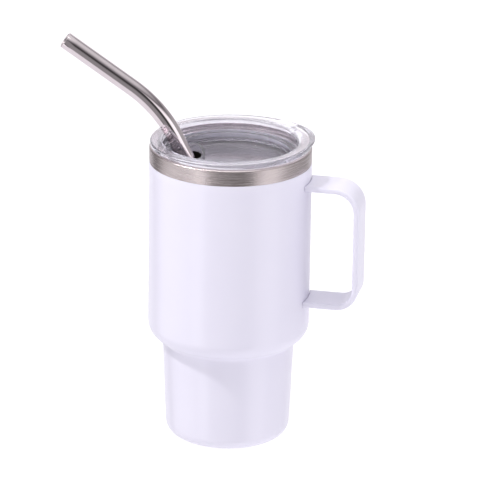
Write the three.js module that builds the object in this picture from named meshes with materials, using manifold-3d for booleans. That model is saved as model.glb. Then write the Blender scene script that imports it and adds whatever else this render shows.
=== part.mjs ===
// Small insulated tumbler: a double-wall steel cup with a strip handle, a clear press-in lid and a
// bent steel straw. Millimetres, +Z up, handle along +X, base flat on z = 0.
import * as THREE from "three";
import { mergeVertices } from "three/addons/utils/BufferGeometryUtils.js";
import Module from "manifold-3d";

const wasm = await Module();
wasm.setup();

// ---- driving dimensions (mm) ----
const GAP = 0.3; // clearance between neighbouring pieces
const TURN_SEGMENTS = 64; // facets round a turned piece

const barrelRadius = 24; // outside of the wide upper section
const wall = 0.7; // sheet thickness of the outer wall
const bandBottom = 85.6; // lower edge of the bare steel band
const rimTop = 90.3; // top of the steel rim
const shoulderTop = 35.7; // where the barrel starts to round in
const shoulderRadius = 5.4; // round of the shoulder
const cornerRound = 2.0; // hollow round where the shoulder meets the narrow section
const footTopRadius = 19.6; // narrow section just under the shoulder
const footRadius = 18.5; // narrow section at the foot round
const footRound = 3.9; // round at the very bottom

const capRadius = footRadius - footRound - GAP; // base disc
const capThickness = 0.8;
const capLipHeight = 2.1;

const linerRadius = 21.4; // inside of the wide part of the liner
const linerWall = 0.6;
const linerTop = 87.9; // the rim's turned-in lip sits above this
const linerFootTopRadius = 16.7;
const linerFootRadius = 15.7;
const linerFootRound = 3.5;
const linerFloor = 3.4; // inside floor of the cup

const handleReach = 39.8; // outer face of the grip from the cup axis
const handleTop = 81.2;
const handleBottom = 43.3;
const handleThickness = 1.7;
const handleWidth = 11.5;
const handleTopBend = 7.6; // outer bend radii
const handleBottomBend = 6.6;
const handleEdgeRound = 0.4;

const flangeRadius = 23.75; // lid flange
const flangeBottom = rimTop + GAP;
const flangeTop = 92.1;
const flangeInner = 20.0; // mouth of the lid's pan
const panRadius = 17.9; // floor of the pan
const panFloor = 84.7;
const lidWall = 1.3;
const plugRadius = 20.7; // outside of the part that drops into the cup
const sealGroove = { bottom: 86.3, top: 88.5, depth: 0.9 };
const tabRise = 1.4; // the flange's top edge lifts and flares into a pull tab toward the handle
const tabFlare = 1.9;
const tabSharpness = 4.2; // higher is narrower

const holeX = -12.9; // straw hole, opposite the handle
const holeRadius = 4.2;
const collarRadius = 5.1;
const collarTop = 86.2;

const strawRadius = 2.5;
const strawWall = 0.5;
const strawAt = new THREE.Vector3(-13.8, -0.2, collarTop); // straw axis level with the collar
const strawTurn = 10; // degrees about Z, from -X toward -Y
const strawLowerSlope = 63; // degrees above horizontal
const strawUpperSlope = 35.6;
const strawBendRadius = 42;
const strawBelow = 60; // along the axis, from the collar to the lower end
const strawToCorner = 16.4; // along the axis, from the collar to the corner the bend rounds off
const strawBeyondCorner = 34.3; // from that corner to the tip
// ---------------------------------

const rad = THREE.MathUtils.degToRad;
const pt = (x, y) => new THREE.Vector2(x, y);

const finishes = {
  coat: { color: 0xf1f0f6, roughness: 0.32, metalness: 0 },
  brushed: { color: 0xb5aca8, roughness: 0.38, metalness: 1 },
  liner: { color: 0xa9a5a4, roughness: 0.42, metalness: 1 },
  polished: { color: 0xc9c3c6, roughness: 0.12, metalness: 1 },
  clear: { color: 0xe6e8ee, roughness: 0.06, metalness: 0 },
  seal: { color: 0xdcdce0, roughness: 0.5, metalness: 0 },
};

/** Points along an arc in the profile plane, angles in degrees, both ends included. */
function arc(cx, cy, radius, from, to, steps) {
  const points = [];
  for (let i = 0; i <= steps; i++) {
    const a = rad(from + ((to - from) * i) / steps);
    points.push(pt(cx + radius * Math.cos(a), cy + radius * Math.sin(a)));
  }
  return points;
}

/** Solid of revolution about Z from a profile of (radius, height) points. */
function turned(profile, segments = TURN_SEGMENTS) {
  const points = [...profile];
  const last = points[points.length - 1];
  if (last.x > 1e-9 && !last.equals(points[0])) points.push(points[0].clone());
  return new THREE.LatheGeometry(points, segments).rotateX(Math.PI / 2);
}

function toManifold(geometry) {
  const bare = geometry.clone();
  bare.deleteAttribute("normal");
  bare.deleteAttribute("uv");
  const merged = mergeVertices(bare, 1e-5);
  const vertProperties = new Float32Array(merged.attributes.position.array);
  const triVerts = new Uint32Array(merged.index.array);
  return new wasm.Manifold(new wasm.Mesh({ numProp: 3, vertProperties, triVerts }));
}

function toGeometry(solid) {
  const mesh = solid.getMesh();
  const geometry = new THREE.BufferGeometry();
  geometry.setAttribute("position", new THREE.BufferAttribute(mesh.vertProperties, 3));
  geometry.setIndex(new THREE.BufferAttribute(mesh.triVerts, 1));
  geometry.computeVertexNormals();
  return geometry;
}

const assembly = new THREE.Group();
assembly.name = "insulated_tumbler";

function addPiece(name, geometry, finish) {
  const mesh = new THREE.Mesh(geometry, new THREE.MeshStandardMaterial(finish));
  mesh.name = name;
  assembly.add(mesh);
}

// ---- cup ----

/** Outer wall: foot round, tapered foot, round shoulder and straight barrel, open both ends. */
function outerShell() {
  const footCentre = footRadius - footRound;
  const shoulderCentre = barrelRadius - shoulderRadius;
  const reach = shoulderRadius + cornerRound;
  const across = footTopRadius + cornerRound - shoulderCentre;
  const sweep = THREE.MathUtils.radToDeg(Math.acos(across / reach));
  const cornerHeight = shoulderTop - Math.sqrt(reach ** 2 - across ** 2);
  const outside = [
    ...arc(footCentre, footRound, footRound, -90, 0, 6),
    ...arc(footTopRadius + cornerRound, cornerHeight, cornerRound, 180, 180 - sweep, 4),
    ...arc(shoulderCentre, shoulderTop, shoulderRadius, -sweep, 0, 8).slice(1),
    pt(barrelRadius, bandBottom - GAP),
  ];
  const inside = [
    pt(barrelRadius - wall, bandBottom - GAP),
    ...arc(shoulderCentre, shoulderTop, shoulderRadius - wall, 0, -sweep, 6),
    pt(footTopRadius - wall, shoulderTop - shoulderRadius + wall - 0.1),
    ...arc(footCentre, footRound, footRound - wall, 0, -90, 5),
  ];
  return turned([...outside, ...inside]);
}

/** Bare steel band with its top edge rolled in over the liner. */
function rimBand() {
  const lip = 0.55;
  return turned([
    pt(barrelRadius, bandBottom),
    ...arc(barrelRadius - lip, rimTop - lip, lip, 0, 90, 4),
    ...arc(linerRadius + lip, rimTop - lip, lip, 90, 180, 4),
    pt(linerRadius, linerTop + GAP),
    pt(linerRadius + linerWall, linerTop + GAP),
    pt(linerRadius + linerWall, rimTop - 2 * lip),
    pt(barrelRadius - wall, rimTop - 2 * lip),
    pt(barrelRadius - wall, bandBottom),
  ]);
}

/** Inner cup: same stepped form as the outside, with a closed rounded floor. */
function innerLiner() {
  const footCentre = linerFootRadius - linerFootRound;
  const footHeight = linerFloor + linerFootRound;
  const shoulderCentre = barrelRadius - shoulderRadius;
  const insideArc = shoulderRadius - (barrelRadius - linerRadius);
  const outsideArc = insideArc + linerWall;
  const outer = (radius) => radius + linerWall;
  return turned([
    pt(0, linerFloor - linerWall),
    ...arc(footCentre, footHeight, outer(linerFootRound), -90, 0, 5),
    pt(outer(linerFootTopRadius), shoulderTop - outsideArc),
    ...arc(shoulderCentre, shoulderTop, outsideArc, -70, 0, 5),
    pt(outer(linerRadius), linerTop),
    pt(linerRadius, linerTop),
    ...arc(shoulderCentre, shoulderTop, insideArc, 0, -70, 5),
    pt(linerFootTopRadius, shoulderTop - insideArc),
    ...arc(footCentre, footHeight, linerFootRound, 0, -90, 5),
    pt(0, linerFloor),
  ]);
}

/** Base disc with an upturned lip, flush with the foot round. */
function baseCap() {
  const lipInner = capRadius - capThickness;
  return turned([
    pt(0, 0),
    pt(capRadius, 0),
    pt(capRadius, capLipHeight),
    pt(lipInner, capLipHeight),
    pt(lipInner, capThickness),
    pt(0, capThickness),
  ]);
}

/** One flat strip bent to a squared loop, its ends trimmed to the barrel. */
function handle() {
  const inset = handleThickness;
  const start = barrelRadius - 1;
  const topOuter = handleReach - handleTopBend;
  const bottomOuter = handleReach - handleBottomBend;
  const topCentre = handleTop - handleTopBend;
  const bottomCentre = handleBottom + handleBottomBend;
  const outline = [
    pt(start, handleBottom),
    ...arc(bottomOuter, bottomCentre, handleBottomBend, -90, 0, 8),
    ...arc(topOuter, topCentre, handleTopBend, 0, 90, 8),
    pt(start, handleTop),
    pt(start, handleTop - inset),
    ...arc(topOuter, topCentre, handleTopBend - inset, 90, 0, 8),
    ...arc(bottomOuter, bottomCentre, handleBottomBend - inset, 0, -90, 8),
    pt(start, handleBottom + inset),
  ];
  const strip = new THREE.ExtrudeGeometry(new THREE.Shape(outline), {
    depth: handleWidth - 2 * handleEdgeRound,
    bevelEnabled: true,
    bevelThickness: handleEdgeRound,
    bevelSize: handleEdgeRound,
    bevelOffset: -handleEdgeRound,
    bevelSegments: 2,
  });
  strip.translate(0, 0, -handleWidth / 2 + handleEdgeRound).rotateX(Math.PI / 2);
  const cutRadius = barrelRadius + GAP;
  const cutter = turned([pt(0, 30), pt(cutRadius, 30), pt(cutRadius, 90), pt(0, 90)], 144);
  return toGeometry(toManifold(strip).subtract(toManifold(cutter)));
}

addPiece("outer_shell", outerShell(), finishes.coat);
addPiece("rim_band", rimBand(), finishes.brushed);
addPiece("inner_liner", innerLiner(), finishes.liner);
addPiece("base_cap", baseCap(), finishes.coat);
addPiece("handle", handle(), finishes.coat);

// ---- lid ----

/** Lifts and flares the flange's outer top edge, most toward the handle. */
function raiseTab(geometry) {
  const { clamp } = THREE.MathUtils;
  const position = geometry.attributes.position;
  for (let i = 0; i < position.count; i++) {
    const [x, y, z] = [position.getX(i), position.getY(i), position.getZ(i)];
    const radius = Math.max(Math.hypot(x, y), 1e-9);
    const out = clamp((radius - flangeInner) / (flangeRadius - flangeInner), 0, 1);
    const up = clamp((z - flangeBottom) / (flangeTop - flangeBottom), 0, 1);
    const share = out * up * ((1 + x / radius) / 2) ** tabSharpness;
    const stretch = 1 + (share * tabFlare) / radius;
    position.setXYZ(i, x * stretch, y * stretch, z + share * tabRise);
  }
  return geometry;
}

/** Clear lid: flange with a pull tab, stepped pan, seal groove and a collared straw hole. */
function lid() {
  const plugBottom = panFloor - lidWall;
  const groove = plugRadius - sealGroove.depth;
  const edge = 0.4;
  const pan = raiseTab(turned([
    pt(0, plugBottom),
    pt(panRadius + lidWall - 0.8, plugBottom),
    pt(panRadius + lidWall, plugBottom + 0.8),
    pt(groove, sealGroove.bottom - 0.9),
    pt(plugRadius - 0.2, sealGroove.bottom - 0.9),
    pt(plugRadius - 0.2, sealGroove.bottom),
    pt(groove, sealGroove.bottom),
    pt(groove, sealGroove.top),
    pt(plugRadius, sealGroove.top),
    pt(plugRadius, flangeBottom),
    pt(flangeRadius - edge, flangeBottom),
    pt(flangeRadius, flangeBottom + edge),
    pt(flangeRadius, flangeTop - edge),
    pt(flangeRadius - edge, flangeTop),
    pt(flangeInner + edge, flangeTop),
    pt(flangeInner, flangeTop - edge),
    pt(flangeInner - 0.3, 88.4),
    pt(panRadius + 0.6, 88),
    pt(panRadius, panFloor + 0.6),
    pt(panRadius - 0.6, panFloor),
    pt(0, panFloor),
  ]));
  const collar = turned([
    pt(0, panFloor - 0.5),
    pt(collarRadius, panFloor - 0.5),
    pt(collarRadius, collarTop - edge),
    pt(collarRadius - edge, collarTop),
    pt(0, collarTop),
  ], 40).translate(holeX, 0, 0);
  const bore = turned([
    pt(0, plugBottom - 2),
    pt(holeRadius, plugBottom - 2),
    pt(holeRadius, collarTop + 2),
    pt(0, collarTop + 2),
  ], 40).translate(holeX, 0, 0);
  const solid = toManifold(pan).add(toManifold(collar)).subtract(toManifold(bore));
  return toGeometry(solid);
}

/** Soft ring in the lid's groove, with two lips toward the cup. */
function lidSeal() {
  const inner = plugRadius - sealGroove.depth + GAP;
  const bottom = sealGroove.bottom + GAP;
  const top = sealGroove.top - GAP;
  const tip = linerRadius - GAP;
  const waist = tip - 0.5;
  const middle = (bottom + top) / 2;
  return turned([
    pt(inner, bottom),
    pt(waist, bottom),
    pt(tip, bottom + 0.3),
    pt(waist, middle),
    pt(tip, top - 0.3),
    pt(waist, top),
    pt(inner, top),
  ]);
}

addPiece("lid", lid(), finishes.clear);
addPiece("lid_seal", lidSeal(), finishes.seal);

// ---- straw ----

/** Straight, arc, straight: the straw's centre line, measured by arc length from its lower end. */
class BentLine extends THREE.Curve {
  constructor(origin, turn, lowerSlope, upperSlope, bendRadius, below, toCorner, beyondCorner) {
    super();
    this.origin = origin;
    this.outward = new THREE.Vector3(-Math.cos(rad(turn)), -Math.sin(rad(turn)), 0);
    this.lower = rad(lowerSlope);
    this.bend = rad(lowerSlope - upperSlope);
    this.bendRadius = bendRadius;
    this.below = below;
    const tangentLength = bendRadius * Math.tan(this.bend / 2);
    this.straight = below + toCorner - tangentLength;
    this.total = this.straight + bendRadius * this.bend + beyondCorner - tangentLength;
  }

  getPoint(t, target = new THREE.Vector3()) {
    const s = t * this.total;
    const straight = Math.min(s, this.straight);
    const turned = Math.min(Math.max(s - this.straight, 0) / this.bendRadius, this.bend);
    const rest = Math.max(s - this.straight - this.bendRadius * this.bend, 0);
    const slope = this.lower - turned;
    const r = this.bendRadius;
    let out = (straight - this.below) * Math.cos(this.lower) + rest * Math.cos(slope);
    let up = (straight - this.below) * Math.sin(this.lower) + rest * Math.sin(slope);
    out += r * (Math.sin(this.lower) - Math.sin(slope));
    up += r * (Math.cos(slope) - Math.cos(this.lower));
    return target.copy(this.origin).addScaledVector(this.outward, out).setZ(this.origin.z + up);
  }
}

/** Open tube bent once. */
function straw() {
  const line = new BentLine(
    strawAt, strawTurn, strawLowerSlope, strawUpperSlope,
    strawBendRadius, strawBelow, strawToCorner, strawBeyondCorner,
  );
  const section = new THREE.Shape().absarc(0, 0, strawRadius, 0, 2 * Math.PI);
  section.holes.push(new THREE.Path().absarc(0, 0, strawRadius - strawWall, 0, 2 * Math.PI));
  return new THREE.ExtrudeGeometry(section, { steps: 24, curveSegments: 12, extrudePath: line });
}

addPiece("straw", straw(), finishes.polished);

export default assembly;
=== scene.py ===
"""Looks for the insulated tumbler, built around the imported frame.

Finely turned shells, a bent strip handle, a clear lid and a polished steel straw.
"""

import math

import bmesh
import bpy
from mathutils import Matrix, Vector


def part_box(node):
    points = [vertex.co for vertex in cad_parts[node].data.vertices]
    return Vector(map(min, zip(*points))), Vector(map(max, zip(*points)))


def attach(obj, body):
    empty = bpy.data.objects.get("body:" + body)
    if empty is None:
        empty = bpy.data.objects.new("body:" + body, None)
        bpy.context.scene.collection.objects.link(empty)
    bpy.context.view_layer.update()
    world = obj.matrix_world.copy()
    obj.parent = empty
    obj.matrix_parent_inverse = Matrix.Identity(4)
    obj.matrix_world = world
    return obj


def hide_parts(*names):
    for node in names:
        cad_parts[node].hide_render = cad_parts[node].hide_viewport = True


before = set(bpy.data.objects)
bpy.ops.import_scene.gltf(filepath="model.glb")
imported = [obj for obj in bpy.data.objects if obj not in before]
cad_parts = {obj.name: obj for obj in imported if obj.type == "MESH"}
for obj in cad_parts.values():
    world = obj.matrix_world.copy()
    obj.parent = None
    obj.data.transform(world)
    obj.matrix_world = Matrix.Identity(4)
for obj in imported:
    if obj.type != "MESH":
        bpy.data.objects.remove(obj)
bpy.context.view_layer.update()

MM = 0.001
SEGMENTS = 160
SHARP = math.radians(38)  # edges that turn more than this are shaded as corners
ON_AXIS = 1e-7

# ---- sizes, in metres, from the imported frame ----
SHELL_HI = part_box("outer_shell")[1]
RIM_LO, RIM_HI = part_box("rim_band")
LINER_LO, LINER_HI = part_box("inner_liner")
CAP_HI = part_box("base_cap")[1]
GRIP_LO, GRIP_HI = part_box("handle")
LID_LO, LID_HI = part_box("lid")
SEAL_LO, SEAL_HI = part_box("lid_seal")

BARREL_R = SHELL_HI.x
BAND_BOTTOM = RIM_LO.z
RIM_TOP = RIM_HI.z
SHOULDER_TOP = 35.7 * MM
SHOULDER_R = 5.4 * MM
CORNER_ROUND = 2.0 * MM  # hollow round where the shoulder meets the foot
FOOT_TOP_R = 19.6 * MM
FOOT_R = 18.5 * MM
FOOT_ROUND = 3.9 * MM
SHEET = 0.7 * MM
SEAM = 0.03 * MM  # what is left of the modelling gaps between pieces that really touch

LINER_R = LINER_HI.x - 0.6 * MM
LINER_SHEET = 0.6 * MM
LINER_FOOT_TOP_R = 16.7 * MM
LINER_FOOT_R = 15.7 * MM
LINER_FOOT_ROUND = 3.5 * MM
LINER_FLOOR = LINER_LO.z + LINER_SHEET

GRIP_THICK = 1.7 * MM
GRIP_TOP_BEND = 7.6 * MM
GRIP_BOTTOM_BEND = 6.6 * MM

TAB_RISE = 1.4 * MM  # how far the flange's top edge lifts at the pull tab
TAB_SHARPNESS = 4.2  # higher keeps the lift nearer the handle
NOTCH_ANGLE = math.radians(40)  # small vent notch in the flange's inner edge
NOTCH_HALF_WIDTH = 1.1 * MM
NOTCH_DEPTH = 0.5 * MM
FLANGE_R = -LID_LO.x
FLANGE_TOP = LID_HI.z - TAB_RISE
FLANGE_BOTTOM = RIM_TOP + 0.3 * MM
FLANGE_MOUTH = 20.0 * MM
TAB_FLARE = LID_HI.x - FLANGE_R
PLUG_R = 20.7 * MM
PAN_R = 17.9 * MM
PAN_FLOOR = LID_LO.z + 1.3 * MM
LEDGE = 88.0 * MM  # level step in the pan's wall
LEDGE_ROUND = 0.4 * MM
GROOVE_LO = 86.3 * MM
GROOVE_HI = 88.5 * MM
GROOVE_DEPTH = 0.9 * MM

HOLE_X = -12.9 * MM
HOLE_R = 4.2 * MM
COLLAR_R = 5.1 * MM
COLLAR_TOP = 86.2 * MM
GUARD_RISE = 2.2 * MM  # the collar stands higher on the side behind the straw
GUARD_TURN = math.radians(65)

STRAW_R = 2.5 * MM
STRAW_BORE = 2.05 * MM
STRAW_AT = Vector((-13.8, -0.2, 86.2)) * MM
STRAW_TURN = 10.0  # degrees from the X axis, seen from above
STRAW_LOWER_SLOPE = 63.0  # degrees above level
STRAW_UPPER_SLOPE = 35.6
STRAW_BEND_R = 42.0 * MM
STRAW_BELOW = 60.0 * MM
STRAW_TO_CORNER = 16.4 * MM
STRAW_BEYOND = 34.3 * MM


# ---- mesh helpers ----
def arc(cx, cz, radius, start, end, steps):
    """Points (x, z) on an arc, angles in degrees, ends included."""
    return [
        (
            cx + radius * math.cos(math.radians(start + (end - start) * i / steps)),
            cz + radius * math.sin(math.radians(start + (end - start) * i / steps)),
        )
        for i in range(steps + 1)
    ]


def line(a, b, steps):
    """Points from a to b, both ends left out."""
    return [
        (a[0] + (b[0] - a[0]) * i / steps, a[1] + (b[1] - a[1]) * i / steps)
        for i in range(1, steps)
    ]


def skin(name, rings, closed_along):
    """A mesh through rings of equal length; a ring of one point is a pole."""
    bm = bmesh.new()
    rows = [[bm.verts.new(p) for p in ring] for ring in rings]
    pairs = list(zip(rows, rows[1:]))
    if closed_along:
        pairs.append((rows[-1], rows[0]))
    for a, b in pairs:
        n = max(len(a), len(b))
        for i in range(n):
            j = (i + 1) % n
            quad = [a[i % len(a)], a[j % len(a)], b[j % len(b)], b[i % len(b)]]
            corners = list(dict.fromkeys(quad))
            if len(corners) > 2:
                bm.faces.new(corners)
    bmesh.ops.recalc_face_normals(bm, faces=bm.faces)
    for face in bm.faces:
        face.smooth = True
    for edge in bm.edges:
        if len(edge.link_faces) == 2 and edge.calc_face_angle(0.0) > SHARP:
            edge.smooth = False
    mesh = bpy.data.meshes.new(name)
    bm.to_mesh(mesh)
    bm.free()
    obj = bpy.data.objects.new(name, mesh)
    bpy.context.scene.collection.objects.link(obj)
    return obj


def circle(cx, radius, z, segments=SEGMENTS):
    """A level ring; radius is a number or a function of the angle."""
    if not callable(radius) and radius < ON_AXIS:
        return [(cx, 0.0, z)]
    points = []
    for i in range(segments):
        a = 2 * math.pi * i / segments
        r = radius(a) if callable(radius) else radius
        points.append((cx + r * math.cos(a), r * math.sin(a), z))
    return points


def turned(name, profile, segments=SEGMENTS):
    """A solid of revolution; a profile that doesn't start on the axis closes on itself."""
    rings = [circle(0.0, r, z, segments) for r, z in profile]
    return skin(name, rings, closed_along=profile[0][0] > ON_AXIS)


# ---- cup ----
def outer_shell():
    foot_c = FOOT_R - FOOT_ROUND
    shoulder_c = BARREL_R - SHOULDER_R
    top = BAND_BOTTOM - SEAM
    reach = SHOULDER_R + CORNER_ROUND
    across = FOOT_TOP_R + CORNER_ROUND - shoulder_c
    sweep = math.degrees(math.acos(across / reach))
    corner_z = SHOULDER_TOP - math.sqrt(reach**2 - across**2)
    foot_end = (FOOT_TOP_R, corner_z)
    lean = math.degrees(math.atan2(FOOT_TOP_R - FOOT_R, corner_z - FOOT_ROUND))
    fillet = arc(FOOT_TOP_R + CORNER_ROUND, corner_z, CORNER_ROUND, 180 - lean, 180 - sweep, 12)
    shoulder = arc(shoulder_c, SHOULDER_TOP, SHOULDER_R, -sweep, 0, 32)[1:]
    foot = arc(foot_c, FOOT_ROUND, FOOT_ROUND, -90, -lean, 20)
    edge = 0.12 * MM
    outside = [
        (foot_c - 0.12 * MM, 0.35 * MM),
        (foot_c - 0.08 * MM, 0.1 * MM),
        *foot,
        *line(foot[-1], foot_end, 8),
        *fillet,
        *shoulder,
        *line((BARREL_R, SHOULDER_TOP), (BARREL_R, top), 16),
        *arc(BARREL_R - edge, top - edge, edge, 0, 90, 4),
    ]
    inside = [
        (BARREL_R - SHEET, top),
        *arc(shoulder_c, SHOULDER_TOP, SHOULDER_R - SHEET, 0, -sweep, 12),
        (FOOT_TOP_R - SHEET, SHOULDER_TOP - SHOULDER_R + SHEET - 0.1 * MM),
        *arc(foot_c, FOOT_ROUND, FOOT_ROUND - SHEET, 0, -90, 8),
        (foot_c - 0.12 * MM, SHEET),
    ]
    return turned("shell_skin", [*outside, *inside], 192)


def rim_band():
    lip = 0.6 * MM
    outer = BARREL_R - 0.03 * MM
    inner = LINER_R
    bottom = BAND_BOTTOM
    seam = LINER_HI.z + SEAM
    return turned(
        "rim_skin",
        [
            (outer, bottom),
            *line((outer, bottom), (outer, RIM_TOP - lip), 8),
            *arc(outer - lip, RIM_TOP - lip, lip, 0, 90, 10),
            *arc(inner + lip, RIM_TOP - lip, lip, 90, 180, 10),
            (inner, seam),
            (inner + LINER_SHEET, seam),
            (inner + LINER_SHEET, RIM_TOP - 2 * lip),
            (outer - SHEET, RIM_TOP - 2 * lip),
            (outer - SHEET, bottom),
        ],
        192,
    )


def inner_liner():
    foot_c = LINER_FOOT_R - LINER_FOOT_ROUND
    foot_z = LINER_FLOOR + LINER_FOOT_ROUND
    shoulder_c = BARREL_R - SHOULDER_R
    inside_r = SHOULDER_R - (BARREL_R - LINER_R)
    outside_r = inside_r + LINER_SHEET
    return turned(
        "liner_skin",
        [
            (0.0, LINER_FLOOR - LINER_SHEET),
            *arc(foot_c, foot_z, LINER_FOOT_ROUND + LINER_SHEET, -90, 0, 10),
            (LINER_FOOT_TOP_R + LINER_SHEET, SHOULDER_TOP - outside_r),
            *arc(shoulder_c, SHOULDER_TOP, outside_r, -70, 0, 10),
            (LINER_R + LINER_SHEET, LINER_HI.z),
            (LINER_R, LINER_HI.z),
            *line((LINER_R, LINER_HI.z), (LINER_R, SHOULDER_TOP), 10),
            *arc(shoulder_c, SHOULDER_TOP, inside_r, 0, -70, 12),
            *arc(LINER_FOOT_TOP_R + 0.5 * MM, SHOULDER_TOP - inside_r - 0.5 * MM, 0.5 * MM, 90, 180, 5),
            *arc(foot_c, foot_z, LINER_FOOT_ROUND, 0, -90, 14),
            (foot_c * 0.5, LINER_FLOOR),
            (0.0, LINER_FLOOR),
        ],
    )


def base_cap():
    """Base disc: pressed ring near the edge and a rounded seam toward the shell."""
    radius = FOOT_R - FOOT_ROUND - 0.2 * MM
    ring = radius - 2.2 * MM
    inner = radius - 0.8 * MM
    step = 0.22 * MM
    return turned(
        "base_skin",
        [
            (0.0, 0.0),
            (ring - 0.6 * MM, 0.0),
            (ring - 0.35 * MM, step * 0.6),
            (ring - 0.1 * MM, step),
            (ring + 0.1 * MM, step),
            (ring + 0.35 * MM, step * 0.6),
            (ring + 0.6 * MM, 0.0),
            *arc(radius - 0.2 * MM, 0.2 * MM, 0.2 * MM, -90, 0, 5),
            (radius, CAP_HI.z),
            (inner, CAP_HI.z),
            (inner, 0.8 * MM),
            (0.0, 0.8 * MM),
        ],
        128,
    )


def handle():
    """Strip of rounded section swept round a squared loop, its ends hollowed to the barrel."""
    half = GRIP_THICK / 2
    width = (GRIP_HI.y - GRIP_LO.y) / 2
    round_r = 0.55 * MM
    section = []
    for sy, sn, start in ((1, 1, 0), (-1, 1, 90), (-1, -1, 180), (1, -1, 270)):
        section += arc(sy * (width - round_r), sn * (half - round_r), round_r, start, start + 90, 5)
        if sy * sn > 0:
            far_y, far_n = section[-1]
            section += line((far_y, far_n), (-far_y, far_n), 8)
    top_mid = GRIP_HI.z - half
    bottom_mid = GRIP_LO.z + half
    reach = GRIP_HI.x - half
    top_r = GRIP_TOP_BEND - half
    bottom_r = GRIP_BOTTOM_BEND - half
    gap = 0.1 * MM
    straight_top, straight_end = top_mid - top_r, bottom_mid + bottom_r
    ends = (0.0, 0.15 * MM, 0.5 * MM, 2.0 * MM, 4.5 * MM)  # distances from the barrel

    # stations along the loop: (x, z, outward normal x, z, distance from the barrel or None)
    stations = [(None, top_mid, 0.0, 1.0, depth) for depth in ends]

    def bend(radius, centre_z, start):
        for i in range(25):
            a = math.radians(start - 90 * i / 24)
            nx, nz = math.cos(a), math.sin(a)
            stations.append((reach - radius + radius * nx, centre_z + radius * nz, nx, nz, None))

    bend(top_r, straight_top, 90)
    for i in range(1, 9):
        z = straight_top + (straight_end - straight_top) * i / 9
        stations.append((reach, z, 1.0, 0.0, None))
    bend(bottom_r, straight_end, 0)
    stations += [(None, bottom_mid, 0.0, -1.0, depth) for depth in reversed(ends)]
    rings = []
    for x, z, nx, nz, depth in stations:
        ring = []
        for y, n in section:
            if x is None:
                shrink = 0.12 * MM if depth == 0.0 else 0.0
                k = 1 - shrink / half
                wall = math.sqrt((BARREL_R + gap) ** 2 - y * y)
                ring.append((wall + depth, y, z + n * k * nz))
            else:
                ring.append((x + n * nx, y, z + n * nz))
        rings.append(ring)
    obj = skin("handle_skin", rings, closed_along=False)
    bm = bmesh.new()
    bm.from_mesh(obj.data)
    open_edges = [e for e in bm.edges if e.is_boundary]
    bmesh.ops.holes_fill(bm, edges=open_edges, sides=0)
    bmesh.ops.recalc_face_normals(bm, faces=bm.faces)
    bm.to_mesh(obj.data)
    bm.free()
    return obj


# ---- lid ----
def raised(ring):
    """The ring with the flange's outer top edge lifted and flared, most toward the handle."""
    points = []
    for x, y, z in ring:
        radius = math.hypot(x, y)
        out = min(max((radius - FLANGE_MOUTH) / (FLANGE_R - FLANGE_MOUTH), 0.0), 1.0)
        up = min(max((z - FLANGE_BOTTOM) / (FLANGE_TOP - FLANGE_BOTTOM), 0.0), 1.0)
        share = out * up * ((1 + x / radius) / 2) ** TAB_SHARPNESS
        stretch = 1 + share * TAB_FLARE / radius
        off = (math.atan2(y, x) - NOTCH_ANGLE) * radius / NOTCH_HALF_WIDTH
        notch = NOTCH_DEPTH * up * (1 - out) * math.exp(-(off**2))
        points.append((x * stretch, y * stretch, z + share * TAB_RISE - notch))
    return points


def bridge(ring_a, ring_b, steps=4):
    """Rings between two rings, both left out."""
    return [
        [tuple(Vector(a).lerp(Vector(b), k / steps)) for a, b in zip(ring_a, ring_b)]
        for k in range(1, steps)
    ]


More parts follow.
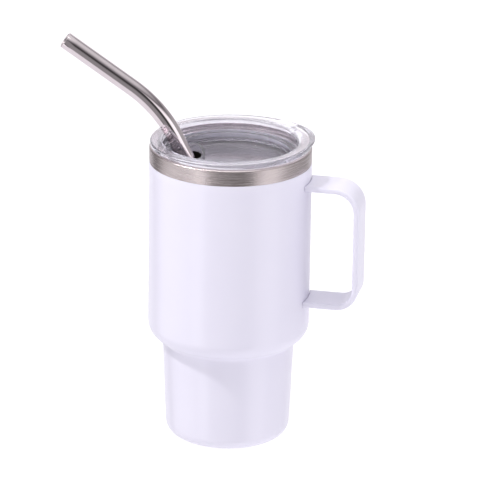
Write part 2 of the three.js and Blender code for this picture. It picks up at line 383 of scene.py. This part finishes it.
def lid():
    """One closed skin: bore, collar, pan, stepped wall, flange with tab, plug and underside."""
    low = LID_LO.z
    n = SEGMENTS
    edge = 0.3 * MM
    rings = []

    def hole(points, lift=0.0):
        """Rings round the straw hole; lift raises the side of them away from the straw's lean."""
        for r, z in points:
            ring = []
            for i, (x, y, _) in enumerate(circle(HOLE_X, r, z, n)):
                facing = max(math.cos(2 * math.pi * i / n - GUARD_TURN), 0.0)
                ring.append((x, y, z + lift * facing**2))
            rings.append(ring)

    def axis(points):
        rings.extend(circle(0.0, r, z, n) for r, z in points)

    hole([(HOLE_R + 0.2 * MM, low), (HOLE_R, low + 0.2 * MM), (HOLE_R, PAN_FLOOR)])
    hole([(HOLE_R, COLLAR_TOP - edge)], GUARD_RISE)
    hole(arc(HOLE_R + edge, COLLAR_TOP - edge, edge, 180, 90, 4), GUARD_RISE)
    hole(arc(COLLAR_R - edge, COLLAR_TOP - edge, edge, 90, 0, 4), GUARD_RISE)
    hole([(COLLAR_R, PAN_FLOOR + edge)])
    collar_foot = circle(HOLE_X, COLLAR_R + edge * 0.5, PAN_FLOOR, n)
    pan_edge = circle(0.0, PAN_R - 0.9 * MM, PAN_FLOOR, n)
    rings.extend(bridge(collar_foot, pan_edge))
    axis(arc(PAN_R - 0.8 * MM, PAN_FLOOR + 0.8 * MM, 0.8 * MM, -90, 0, 6))
    axis([(PAN_R + 0.25 * MM, LEDGE - 2 * LEDGE_ROUND)])
    axis(arc(PAN_R + 0.7 * MM, LEDGE - LEDGE_ROUND, LEDGE_ROUND, 180, 90, 4))
    axis([(FLANGE_MOUTH - 0.75 * MM, LEDGE)])
    axis(arc(FLANGE_MOUTH - 0.75 * MM, LEDGE + LEDGE_ROUND, LEDGE_ROUND, -90, 0, 4))
    flange = [
        *arc(FLANGE_MOUTH + 0.5 * MM, FLANGE_TOP - 0.5 * MM, 0.5 * MM, 180, 90, 6),
        *line((FLANGE_MOUTH + 0.5 * MM, FLANGE_TOP), (FLANGE_R - 0.45 * MM, FLANGE_TOP), 5),
        *arc(FLANGE_R - 0.45 * MM, FLANGE_TOP - 0.45 * MM, 0.45 * MM, 90, 0, 7),
        (FLANGE_R, (FLANGE_TOP + FLANGE_BOTTOM) / 2),
        *arc(FLANGE_R - 0.3 * MM, FLANGE_BOTTOM + 0.3 * MM, 0.3 * MM, 0, -90, 5),
        (FLANGE_R - 2.0 * MM, FLANGE_BOTTOM),
    ]
    rings.extend(raised(circle(0.0, r, z, n)) for r, z in flange)
    groove = PLUG_R - GROOVE_DEPTH
    axis([(PLUG_R + 0.2 * MM, FLANGE_BOTTOM), (PLUG_R, FLANGE_BOTTOM - 0.2 * MM)])
    axis([(PLUG_R, GROOVE_HI), (groove, GROOVE_HI), (groove, GROOVE_LO), (PLUG_R - 0.2 * MM, GROOVE_LO)])
    axis([(PLUG_R - 0.2 * MM, GROOVE_LO - 0.6 * MM), (PLUG_R - 0.6 * MM, GROOVE_LO - 0.95 * MM)])
    axis([(PAN_R + 1.35 * MM, GROOVE_LO - 1.0 * MM)])
    axis(arc(PAN_R + 0.4 * MM, low + 0.9 * MM, 0.9 * MM, 0, -90, 6))
    under_edge = circle(0.0, PAN_R + 0.3 * MM, low, n)
    bore_edge = circle(HOLE_X, HOLE_R + 0.2 * MM, low, n)
    rings.extend(bridge(under_edge, bore_edge))
    return skin("lid_skin", rings, closed_along=True)


def lid_seal():
    """Silicone ring with two lips."""
    inner = PLUG_R - GROOVE_DEPTH + 0.05 * MM
    bottom, top = SEAL_LO.z - 0.2 * MM, SEAL_HI.z + 0.2 * MM
    tip = SEAL_HI.x
    lip = 0.28 * MM
    waist = tip - 0.55 * MM
    middle = (bottom + top) / 2
    return turned(
        "seal_skin",
        [
            (inner, bottom),
            (waist, bottom),
            *arc(tip - lip, bottom + 0.45 * MM, lip, -80, 80, 8),
            (waist, middle),
            *arc(tip - lip, top - 0.45 * MM, lip, -80, 80, 8),
            (waist, top),
            (inner, top),
        ],
    )


def straw_hole_shade_sleeve():
    """Thin near-black sleeve lining the straw hole: painted shade standing in for the dark gap into the
    cup.
    """
    inner = HOLE_R - 0.2 * MM
    outer = HOLE_R - 0.02 * MM
    low, top = PAN_FLOOR - 1.0 * MM, COLLAR_TOP - 0.15 * MM
    edge = 0.08 * MM
    profile = [
        (outer, low),
        (outer, top),
        *arc(inner + edge, top - edge, edge, 90, 180, 4),
        (inner, low),
    ]
    rings = [circle(HOLE_X, r, z, 96) for r, z in profile]
    return skin("hole_shade_sleeve_skin", rings, closed_along=True)


# ---- straw ----
def straw_line():
    """Stations up the straw: (point, direction), straight, one bend, straight."""
    turn = math.radians(STRAW_TURN)
    outward = Vector((-math.cos(turn), -math.sin(turn), 0.0))
    up = Vector((0.0, 0.0, 1.0))
    low, high = math.radians(STRAW_LOWER_SLOPE), math.radians(STRAW_UPPER_SLOPE)

    def heading(slope):
        return outward * math.cos(slope) + up * math.sin(slope)

    tangent = STRAW_BEND_R * math.tan((low - high) / 2)
    start = STRAW_AT - heading(low) * STRAW_BELOW
    bend_start = STRAW_AT + heading(low) * (STRAW_TO_CORNER - tangent)
    stations = [(start.lerp(bend_start, i / 12), heading(low)) for i in range(12)]
    centre = bend_start + (outward * math.sin(low) - up * math.cos(low)) * STRAW_BEND_R
    for i in range(33):
        slope = low + (high - low) * i / 32
        spoke = outward * math.sin(slope) - up * math.cos(slope)
        stations.append((centre - spoke * STRAW_BEND_R, heading(slope)))
    bend_end = stations[-1][0]
    tip = bend_end + heading(high) * (STRAW_BEYOND - tangent)
    stations += [(bend_end.lerp(tip, i / 8), heading(high)) for i in range(1, 9)]
    side = outward.cross(up)
    return stations, side


def straw():
    """Open tube with rounded ends, outside and bore in one skin."""
    stations, side = straw_line()
    segments = 64
    lip = (STRAW_R - STRAW_BORE) / 2
    mid = STRAW_R - lip

    def ring(point, heading, radius):
        across = side.cross(heading)
        return [
            tuple(
                point
                + side * radius * math.cos(2 * math.pi * i / segments)
                + across * radius * math.sin(2 * math.pi * i / segments)
            )
            for i in range(segments)
        ]

    first, last = stations[0], stations[-1]
    outer = [(first[0] + first[1] * lip, first[1]), *stations[1:-1], (last[0] - last[1] * lip, last[1])]
    rings = [ring(p, h, STRAW_R) for p, h in outer]
    for k in range(1, 6):
        a = math.pi * k / 6
        rings.append(ring(last[0] - last[1] * lip * (1 - math.sin(a)), last[1], mid + lip * math.cos(a)))
    rings += [ring(p, h, STRAW_BORE) for p, h in reversed(outer)]
    for k in range(1, 6):
        a = math.pi * (1 - k / 6)
        rings.append(ring(first[0] + first[1] * lip * (1 - math.sin(a)), first[1], mid + lip * math.cos(a)))
    return skin("straw_skin", rings, closed_along=True)


# ---- materials ----
def new_material(name):
    mat = bpy.data.materials.new(name)
    mat.use_nodes = True
    nodes = mat.node_tree.nodes
    return mat, nodes, mat.node_tree.links, nodes["Principled BSDF"]


def object_coords(nodes, links, scale=(1.0, 1.0, 1.0)):
    """Object coordinates in millimetres, stretched by scale."""
    coord = nodes.new("ShaderNodeTexCoord")
    mapping = nodes.new("ShaderNodeMapping")
    mapping.inputs["Scale"].default_value = [s / MM for s in scale]
    links.new(coord.outputs["Object"], mapping.inputs["Vector"])
    return mapping.outputs["Vector"]


def noise(nodes, links, vector, scale, detail=3.0, rough=0.5):
    tex = nodes.new("ShaderNodeTexNoise")
    tex.inputs["Scale"].default_value = scale
    tex.inputs["Detail"].default_value = detail
    tex.inputs["Roughness"].default_value = rough
    links.new(vector, tex.inputs["Vector"])
    return tex.outputs["Fac"]


def remap(nodes, links, value, lo, hi, to_lo, to_hi):
    node = nodes.new("ShaderNodeMapRange")
    node.inputs["From Min"].default_value = lo
    node.inputs["From Max"].default_value = hi
    node.inputs["To Min"].default_value = to_lo
    node.inputs["To Max"].default_value = to_hi
    links.new(value, node.inputs["Value"])
    return node.outputs["Result"]


def blend_colour(nodes, links, fac, a, b):
    node = nodes.new("ShaderNodeMix")
    node.data_type = "RGBA"
    node.inputs["A"].default_value = (*a, 1.0)
    node.inputs["B"].default_value = (*b, 1.0)
    links.new(fac, node.inputs["Factor"])
    return node.outputs["Result"]


def bump(nodes, links, height, strength, distance):
    node = nodes.new("ShaderNodeBump")
    node.inputs["Strength"].default_value = strength
    node.inputs["Distance"].default_value = distance
    links.new(height, node.inputs["Height"])
    return node.outputs["Normal"]


def round_coords(nodes, links, around, up):
    """(angle, radius, height) of an object point, for grain that runs round the cup.

    around stretches the angle, up stretches the radius and the height.
    """
    coord = nodes.new("ShaderNodeTexCoord")
    parts = nodes.new("ShaderNodeSeparateXYZ")
    links.new(coord.outputs["Object"], parts.inputs["Vector"])

    def math_node(operation, a, b):
        node = nodes.new("ShaderNodeMath")
        node.operation = operation
        for socket, value in zip(node.inputs, (a, b)):
            if isinstance(value, float):
                socket.default_value = value
            else:
                links.new(value, socket)
        return node.outputs[0]

    angle = math_node("ARCTAN2", parts.outputs["Y"], parts.outputs["X"])
    flat = nodes.new("ShaderNodeCombineXYZ")
    links.new(parts.outputs["X"], flat.inputs["X"])
    links.new(parts.outputs["Y"], flat.inputs["Y"])
    length = nodes.new("ShaderNodeVectorMath")
    length.operation = "LENGTH"
    links.new(flat.outputs["Vector"], length.inputs[0])
    out = nodes.new("ShaderNodeCombineXYZ")
    links.new(math_node("MULTIPLY", angle, around), out.inputs["X"])
    links.new(math_node("MULTIPLY", length.outputs["Value"], up), out.inputs["Y"])
    links.new(math_node("MULTIPLY", parts.outputs["Z"], up), out.inputs["Z"])
    return out.outputs["Vector"]


def coat_material():
    """White powder coat: faint orange peel, slight blotches in colour and gloss."""
    mat, nodes, links, bsdf = new_material("white_coat")
    coords = object_coords(nodes, links)
    blotch = noise(nodes, links, coords, 0.09, 4.0)
    smudge = noise(nodes, links, coords, 0.35, 5.0, 0.65)
    colour = blend_colour(nodes, links, remap(nodes, links, blotch, 0.3, 0.7, 0.0, 1.0), COAT_A, COAT_B)
    links.new(colour, bsdf.inputs["Base Color"])
    links.new(remap(nodes, links, smudge, 0.3, 0.75, 0.3, 0.42), bsdf.inputs["Roughness"])
    peel = noise(nodes, links, coords, 2.2, 2.0)
    links.new(bump(nodes, links, peel, 0.08, 0.05 * MM), bsdf.inputs["Normal"])
    bsdf.inputs["Specular IOR Level"].default_value = 0.5
    bsdf.inputs["Coat Weight"].default_value = 0.25
    bsdf.inputs["Coat Roughness"].default_value = 0.12
    return mat


def steel_material(name, dark, light, rough, anisotropy):
    """Stainless steel brushed round the cup: fine rings in colour, gloss and relief."""
    mat, nodes, links, bsdf = new_material(name)
    streak = noise(nodes, links, round_coords(nodes, links, 2.2, 9.0 / MM), 1.0, 4.0, 0.6)
    broad = noise(nodes, links, round_coords(nodes, links, 1.6, 0.25 / MM), 1.0, 3.0, 0.5)
    mix = nodes.new("ShaderNodeMath")
    mix.operation = "MULTIPLY"
    links.new(streak, mix.inputs[0])
    links.new(broad, mix.inputs[1])
    tone = remap(nodes, links, mix.outputs[0], 0.14, 0.36, 0.0, 1.0)
    links.new(blend_colour(nodes, links, tone, dark, light), bsdf.inputs["Base Color"])
    links.new(remap(nodes, links, streak, 0.3, 0.7, rough - 0.05, rough + 0.07), bsdf.inputs["Roughness"])
    links.new(bump(nodes, links, streak, 0.9, 0.03 * MM), bsdf.inputs["Normal"])
    bsdf.inputs["Metallic"].default_value = 1.0
    bsdf.inputs["Anisotropic"].default_value = anisotropy
    tangent = nodes.new("ShaderNodeTangent")
    tangent.direction_type = "RADIAL"
    tangent.axis = "Z"
    links.new(tangent.outputs["Tangent"], bsdf.inputs["Tangent"])
    return mat


def polished_material():
    """Polished tube: near mirror, with faint hazy patches and hairline scratches."""
    mat, nodes, links, bsdf = new_material("polished_steel")
    coords = object_coords(nodes, links)
    haze = noise(nodes, links, coords, 0.25, 4.0)
    hair = noise(nodes, links, object_coords(nodes, links, (0.5, 6.0, 0.5)), 1.5, 3.0, 0.6)
    colour = blend_colour(nodes, links, remap(nodes, links, haze, 0.3, 0.7, 0.0, 1.0), STRAW_A, STRAW_B)
    links.new(colour, bsdf.inputs["Base Color"])
    links.new(remap(nodes, links, haze, 0.3, 0.75, 0.05, 0.11), bsdf.inputs["Roughness"])
    links.new(bump(nodes, links, hair, 0.03, 0.02 * MM), bsdf.inputs["Normal"])
    bsdf.inputs["Metallic"].default_value = 1.0
    return mat


def clear_material():
    """Clear moulded plastic; lamps' light passes straight through it, so the cup inside isn't black."""
    mat, nodes, links, bsdf = new_material("clear_plastic")
    coords = object_coords(nodes, links)
    flow = noise(nodes, links, coords, 0.12, 2.0)
    haze = noise(nodes, links, coords, 0.6, 4.0)
    links.new(blend_colour(nodes, links, haze, CLEAR_A, CLEAR_B), bsdf.inputs["Base Color"])
    links.new(remap(nodes, links, haze, 0.35, 0.75, 0.0, 0.03), bsdf.inputs["Roughness"])
    links.new(bump(nodes, links, flow, 0.12, 0.25 * MM), bsdf.inputs["Normal"])
    bsdf.inputs["IOR"].default_value = 1.5
    bsdf.inputs["Transmission Weight"].default_value = 0.93
    path = nodes.new("ShaderNodeLightPath")
    through = nodes.new("ShaderNodeBsdfTransparent")
    through.inputs["Color"].default_value = (*CLEAR_SHADOW, 1.0)
    mixer = nodes.new("ShaderNodeMixShader")
    links.new(path.outputs["Is Shadow Ray"], mixer.inputs[0])
    links.new(bsdf.outputs["BSDF"], mixer.inputs[1])
    links.new(through.outputs["BSDF"], mixer.inputs[2])
    links.new(mixer.outputs["Shader"], nodes["Material Output"].inputs["Surface"])
    return mat


def seal_material():
    """Milky silicone."""
    mat, nodes, links, bsdf = new_material("seal_rubber")
    coords = object_coords(nodes, links)
    mottle = noise(nodes, links, coords, 0.8, 3.0)
    colour = blend_colour(nodes, links, mottle, SEAL_A, SEAL_B)
    links.new(colour, bsdf.inputs["Base Color"])
    links.new(remap(nodes, links, mottle, 0.3, 0.7, 0.38, 0.52), bsdf.inputs["Roughness"])
    links.new(bump(nodes, links, mottle, 0.1, 0.05 * MM), bsdf.inputs["Normal"])
    bsdf.inputs["Transmission Weight"].default_value = 0.55
    bsdf.inputs["IOR"].default_value = 1.41
    return mat


def hole_shade_material():
    """Near-black, soft, rubber-like surface with a faint mottle; its black is painted shade for the straw
    hole's gap into the cup.
    """
    mat, nodes, links, bsdf = new_material("hole_painted_shade")
    mottle = noise(nodes, links, object_coords(nodes, links), 1.2, 3.0)
    colour = blend_colour(nodes, links, mottle, HOLE_SHADE_A, HOLE_SHADE_B)
    links.new(colour, bsdf.inputs["Base Color"])
    links.new(remap(nodes, links, mottle, 0.3, 0.7, 0.55, 0.7), bsdf.inputs["Roughness"])
    links.new(bump(nodes, links, mottle, 0.15, 0.05 * MM), bsdf.inputs["Normal"])
    bsdf.inputs["Specular IOR Level"].default_value = 0.2
    return mat


def floor_material():
    """Pale backdrop that glows a little by itself."""
    mat, nodes, links, bsdf = new_material("studio_floor")
    coords = object_coords(nodes, links)
    mottle = noise(nodes, links, coords, 0.02, 2.0)
    colour = blend_colour(nodes, links, mottle, FLOOR_A, FLOOR_B)
    links.new(colour, bsdf.inputs["Base Color"])
    bsdf.inputs["Roughness"].default_value = 0.9
    bsdf.inputs["Specular IOR Level"].default_value = 0.1
    bsdf.inputs["Emission Color"].default_value = (0.98, 0.98, 1.0, 1.0)
    bsdf.inputs["Emission Strength"].default_value = 0.75
    return mat


COAT_A = (0.79, 0.775, 0.875)
COAT_B = (0.80, 0.785, 0.88)
STRAW_A = (0.75, 0.68, 0.69)
STRAW_B = (0.80, 0.73, 0.74)
CLEAR_A = (0.945, 0.93, 0.985)
CLEAR_B = (0.965, 0.95, 1.0)
CLEAR_SHADOW = (0.85, 0.84, 0.88)  # what a lamp's light keeps on its way through one surface
SEAL_A = (0.72, 0.73, 0.76)
SEAL_B = (0.82, 0.83, 0.85)
# near-black colours of the straw-hole sleeve: painted shade for the dark gap into the cup
HOLE_SHADE_A = (0.006, 0.005, 0.004)
HOLE_SHADE_B = (0.014, 0.012, 0.010)
BARE_A = (0.56, 0.50, 0.49)
BARE_B = (0.70, 0.63, 0.62)
LINER_A = (0.80, 0.77, 0.79)
LINER_B = (0.88, 0.85, 0.87)
FLOOR_A = (0.36, 0.36, 0.36)
FLOOR_B = (0.38, 0.38, 0.38)

coat = coat_material()
bare = steel_material("bare_steel", BARE_A, BARE_B, rough=0.23, anisotropy=0.9)
liner = steel_material("liner_steel", LINER_A, LINER_B, rough=0.28, anisotropy=0.5)
polished = polished_material()
clear = clear_material()
silicone = seal_material()
# painted shade for the dark gap into the cup round the straw
hole_shade = hole_shade_material()

PIECES = (
    (outer_shell, "outer_shell", "cup", "white_coat", coat),
    (rim_band, "rim_band", "cup", "bare_steel", bare),
    (inner_liner, "inner_liner", "cup", "liner_steel", liner),
    (base_cap, "base_cap", "cup", "white_coat", coat),
    (handle, "handle", "cup", "white_coat", coat),
    (lid, "lid", "lid", "clear_plastic", clear),
    (lid_seal, "lid_seal", "lid", "seal_rubber", silicone),
    # near-black sleeve in the straw hole: painted shade for the dark gap into the cup
    (straw_hole_shade_sleeve, None, "lid", "seal_rubber", hole_shade),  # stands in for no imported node
    (straw, "straw", "straw", "polished_steel", polished),
)
for build, node, body, slot, material in PIECES:
    piece = build()
    piece.data.materials.append(material)
    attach(piece, body)
    if node:
        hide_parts(node)

# ---- studio ----
FLOOR_HALF = 8.0  # metres
FLOOR_DROP = 0.02 * MM

floor_mesh = bpy.data.meshes.new("floor")
bm = bmesh.new()
bmesh.ops.create_grid(bm, x_segments=8, y_segments=8, size=FLOOR_HALF)
bmesh.ops.translate(bm, vec=(0.0, 0.0, -FLOOR_DROP), verts=bm.verts)
bm.to_mesh(floor_mesh)
bm.free()
floor = bpy.data.objects.new("floor", floor_mesh)
bpy.context.scene.collection.objects.link(floor)
floor.data.materials.append(floor_material())
# the floor is only a backdrop: the cup is lit by, and reflects, the studio below it
floor.visible_glossy = False
floor.visible_diffuse = False
floor.visible_shadow = False

CAMERA_AZIMUTH = math.radians(12.0)
CAMERA_ELEVATION = math.radians(21.07)
CAMERA_ROLL = math.radians(0.75)
CAMERA_DISTANCE = 50 * BARREL_R
BARREL_SHARE = 0.1674  # how much of the frame's width the barrel's radius takes up
CAMERA_FOCAL = BARREL_SHARE * CAMERA_DISTANCE / BARREL_R  # focal length over sensor width
AIM = Vector((0.0, 0.0, 1.5 * BARREL_R))  # point on the axis that the framing is set by
AIM_SHOWN = (-0.0239, -0.1609)  # where it shows, as shares of the frame from its centre

back = Vector(
    (
        math.sin(CAMERA_AZIMUTH) * math.cos(CAMERA_ELEVATION),
        -math.cos(CAMERA_AZIMUTH) * math.cos(CAMERA_ELEVATION),
        math.sin(CAMERA_ELEVATION),
    )
)
right = Vector((math.cos(CAMERA_AZIMUTH), math.sin(CAMERA_AZIMUTH), 0.0))
above = back.cross(right)
rolled_right = right * math.cos(CAMERA_ROLL) + above * math.sin(CAMERA_ROLL)
rolled_up = above * math.cos(CAMERA_ROLL) - right * math.sin(CAMERA_ROLL)
facing = Matrix((rolled_right, rolled_up, back)).transposed()
shown = Vector((AIM_SHOWN[0], AIM_SHOWN[1], -CAMERA_FOCAL)).normalized()
swing = shown.rotation_difference(Vector((0.0, 0.0, -1.0))).to_matrix()

camera_data = bpy.data.cameras.new("camera")
camera_data.sensor_width = 36.0
camera_data.lens = 36.0 * CAMERA_FOCAL
camera_data.clip_start = 0.05
camera_data.clip_end = 20.0
camera = bpy.data.objects.new("camera", camera_data)
bpy.context.scene.collection.objects.link(camera)
camera.matrix_world = Matrix.Translation(AIM + back * CAMERA_DISTANCE) @ (facing @ swing).to_4x4()
bpy.context.scene.camera = camera


LIGHT_DISTANCE = 0.9
KEY_TINT = (1.0, 0.98, 0.985)
FILL_TINT = (0.96, 0.94, 1.0)
WHITE = (1.0, 1.0, 1.0)


def softbox(name, azimuth, elevation, size, power, colour, shows):
    """Area light aimed at the cup; azimuth counts from the camera's side, negative to its left."""
    a = CAMERA_AZIMUTH + math.radians(azimuth)
    e = math.radians(elevation)
    toward = Vector((math.sin(a) * math.cos(e), -math.cos(a) * math.cos(e), math.sin(e)))
    data = bpy.data.lights.new(name, "AREA")
    data.shape = "RECTANGLE"
    data.size, data.size_y = size
    data.energy = power
    data.color = colour
    lamp = bpy.data.objects.new(name, data)
    bpy.context.scene.collection.objects.link(lamp)
    lamp.location = AIM + toward * LIGHT_DISTANCE
    lamp.rotation_mode = "QUATERNION"
    lamp.rotation_quaternion = toward.to_track_quat("Z", "Y")
    lamp.visible_glossy = shows


softbox("key", -68, 56, (0.05, 0.05), 3.6, KEY_TINT, shows=True)
softbox("top", 20, 76, (0.5, 0.5), 1.0, WHITE, shows=True)
softbox("right", 92, 8, (0.7, 0.7), 2.2, FILL_TINT, shows=False)
softbox("front", 10, 5, (0.9, 0.7), 1.7, FILL_TINT, shows=False)
softbox("left", -95, 5, (0.7, 0.7), 1.2, FILL_TINT, shows=False)
softbox("table", 10, -65, (0.8, 0.8), 1.3, FILL_TINT, shows=False)

# soft panels round the cup: (azimuth from the camera's side, half width, soft edge, brightness)
PANELS = (
    (180, 22, 20, 0.95),  # backdrop
    (-88, 22, 12, 0.85),  # left wall
    (-45, 6, 5, 2.0),  # left strip
    (54, 13, 10, 1.3),  # right panel
    (104, 30, 14, 0.4),  # right wall
    (-8, 14, 10, 0.25),  # camera side
)
ROOM = 0.06
PANEL_TINT = (0.98, 0.96, 1.0)
BELOW = (0.96, 0.94, 1.0)  # white table
ABOVE = (0.17, 0.16, 0.175)
OVERHEAD = (0.85, 0.84, 0.87)
TABLE_EDGE = (-40.0, -33.0)  # elevations between which the white below gives way to the panels
PANEL_TOP = (19.0, 29.0)  # where the panels give way to the space above them
CEILING = (29.0, 50.0)  # where that space brightens to the ceiling
BACKDROP_LIFT = 0.38  # how much higher the backdrop reaches, as a share of the way up


def studio_world():
    """World of a few soft panels, so that metal and clear plastic have something to reflect."""
    world = bpy.data.worlds.new("studio")
    world.use_nodes = True
    nodes, links = world.node_tree.nodes, world.node_tree.links
    coord = nodes.new("ShaderNodeTexCoord")
    turn = nodes.new("ShaderNodeMapping")
    turn.inputs["Rotation"].default_value = (0.0, 0.0, -CAMERA_AZIMUTH)
    links.new(coord.outputs["Generated"], turn.inputs["Vector"])
    parts = nodes.new("ShaderNodeSeparateXYZ")
    links.new(turn.outputs["Vector"], parts.inputs["Vector"])
    flat = nodes.new("ShaderNodeVectorMath")
    flat.operation = "MULTIPLY"
    flat.inputs[1].default_value = (1.0, 1.0, 0.0)
    links.new(turn.outputs["Vector"], flat.inputs[0])
    around = nodes.new("ShaderNodeVectorMath")
    around.operation = "NORMALIZE"
    links.new(flat.outputs["Vector"], around.inputs[0])
    room = nodes.new("ShaderNodeValue")
    room.outputs[0].default_value = ROOM
    glow = room.outputs[0]
    for azimuth, half, soft, brightness in PANELS:
        a = math.radians(azimuth)
        facing = nodes.new("ShaderNodeVectorMath")
        facing.operation = "DOT_PRODUCT"
        facing.inputs[1].default_value = (math.sin(a), -math.cos(a), 0.0)
        links.new(around.outputs["Vector"], facing.inputs[0])
        outer, inner = math.cos(math.radians(half + soft)), math.cos(math.radians(half))
        total = nodes.new("ShaderNodeMath")
        total.operation = "ADD"
        links.new(glow, total.inputs[0])
        shine = remap(nodes, links, facing.outputs["Value"], outer, inner, 0.0, brightness)
        links.new(shine, total.inputs[1])
        glow = total.outputs[0]
    tinted = nodes.new("ShaderNodeVectorMath")
    tinted.operation = "SCALE"
    tinted.inputs[0].default_value = PANEL_TINT
    links.new(glow, tinted.inputs["Scale"])
    # the white backdrop reaches higher behind the cup than beside it
    behind = remap(nodes, links, parts.outputs["Y"], 0.5, 0.88, 0.0, BACKDROP_LIFT)
    lowered = nodes.new("ShaderNodeMath")
    lowered.operation = "SUBTRACT"
    links.new(parts.outputs["Z"], lowered.inputs[0])
    links.new(behind, lowered.inputs[1])
    level = lowered.outputs[0]

    def zone(low, high):
        lo, hi = (math.sin(math.radians(v)) for v in (low, high))
        return remap(nodes, links, level, lo, hi, 0.0, 1.0)

    ceiling = blend_colour(nodes, links, zone(*CEILING), ABOVE, OVERHEAD)
    lower = nodes.new("ShaderNodeMix")
    upper = nodes.new("ShaderNodeMix")
    lower.data_type = upper.data_type = "RGBA"
    links.new(zone(*TABLE_EDGE), lower.inputs["Factor"])
    lower.inputs["A"].default_value = (*BELOW, 1.0)
    links.new(tinted.outputs["Vector"], lower.inputs["B"])
    links.new(zone(*PANEL_TOP), upper.inputs["Factor"])
    links.new(lower.outputs["Result"], upper.inputs["A"])
    links.new(ceiling, upper.inputs["B"])
    sky = nodes["Background"]
    links.new(upper.outputs["Result"], sky.inputs["Color"])
    sky.inputs["Strength"].default_value = 1.0
    return world


bpy.context.scene.world = studio_world()
bpy.context.scene.view_settings.view_transform = "Standard"
